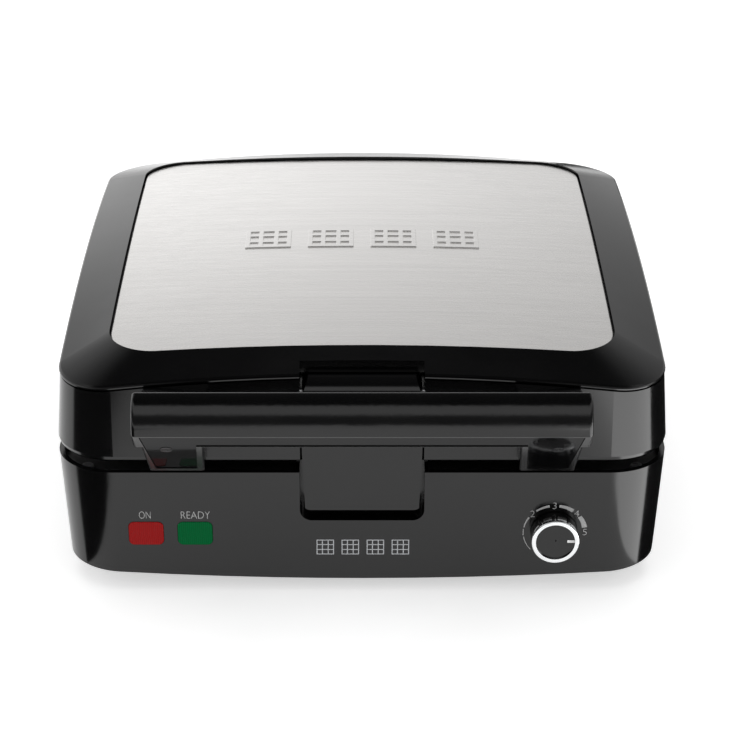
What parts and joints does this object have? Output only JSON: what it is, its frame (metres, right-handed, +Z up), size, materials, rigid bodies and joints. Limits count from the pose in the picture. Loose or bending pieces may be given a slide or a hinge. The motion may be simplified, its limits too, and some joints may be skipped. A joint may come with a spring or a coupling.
{
  "type": "waffle maker",
  "caption": "Square countertop waffle maker with a hinged, bevelled lid, steel top panel, front bar handle, pivoting latch tab and a browning dial.",
  "frame": {"origin": "on the floor plane, under the middle of the whole object with its handle and hinges", "axes": "+X to the right seen from the front, +Y to the back, +Z up; front handle towards -Y"},
  "size_m": [0.335, 0.395, 0.1438],
  "materials": {
    "casing": "satin dark grey moulding",
    "handle": "satin dark grey moulding",
    "gloss_cover": "gloss black moulding",
    "panel_steel": "brushed front to back grain across",
    "knob_trim": "polished ring",
    "pointer": "white inlay",
    "red_lens": "clear red window",
    "green_lens": "clear green window",
    "deck_metal": "dark enamel",
    "cast_plate": "dark non-stick coating on cast aluminium",
    "heater_sheath": "oxidised sheath",
    "shield_sheet": "bright sheet",
    "fastener": "zinc plated",
    "foot_rubber": "moulded",
    "control_body": "heat resistant moulding",
    "board": "circuit board",
    "bulb": "lamp envelope",
    "fuse_body": "tinned can",
    "gland_rubber": "moulded"
  },
  "bodies": {
    "base": {"bottom_cover": "casing", "bottom_screws": "fastener", "cord_clamp": "control_body", "cord_gland": "gland_rubber", "foot_front_left": "foot_rubber", "foot_front_right": "foot_rubber", "foot_rear_left": "foot_rubber", "foot_rear_right": "foot_rubber", "hinge_pin_left": "fastener", "hinge_pin_right": "fastener", "lamp_board": "board", "lamp_bulbs": "bulb", "lower_deck": "deck_metal", "lower_deck_screws": "fastener", "lower_heat_shield": "shield_sheet", "lower_heating_element": "heater_sheath", "lower_housing": "casing", "lower_plate_screws": "fastener", "lower_waffle_plate": "cast_plate", "on_lens": "red_lens", "ready_lens": "green_lens", "terminal_block": "control_body", "thermal_fuse": "fuse_body", "thermostat": "control_body", "thermostat_nut": "fastener"},
    "lid": {"upper_housing": "casing", "top_cover": "casing", "lid_panel": "panel_steel", "upper_deck": "deck_metal", "upper_waffle_plate": "cast_plate", "upper_heating_element": "heater_sheath", "upper_heat_shield": "shield_sheet", "upper_plate_screws": "fastener", "upper_deck_screws": "fastener", "handle_grip": "handle", "handle_underside": "gloss_cover", "handle_screws": "fastener", "latch_pin": "fastener", "latch_spring": "fastener"},
    "latch": {"latch": "casing"},
    "knob": {"control_knob": "casing", "knob_ring": "knob_trim", "knob_pointer": "pointer", "thermostat_shaft": "fastener"}
  },
  "joints": [
    {"name": "lid_hinge", "type": "hinge", "parent": "base", "child": "lid", "pos_m": [0, 0.1915, 0.0796], "axis": [-1, 0, 0], "range_deg": [0, 105]},
    {"name": "latch_pivot", "type": "hinge", "parent": "lid", "child": "latch", "pos_m": [0, -0.146, 0.1204], "axis": [-1, 0, 0], "range_deg": [0, 20], "stiffness_Nm_per_rad": 0.6, "springref_deg": -20.05},
    {"name": "dial_turn", "type": "hinge", "parent": "base", "child": "knob", "pos_m": [0.1054, -0.1615, 0.0384], "axis": [0, -1, 0], "range_deg": [0, 225]}
  ]
}
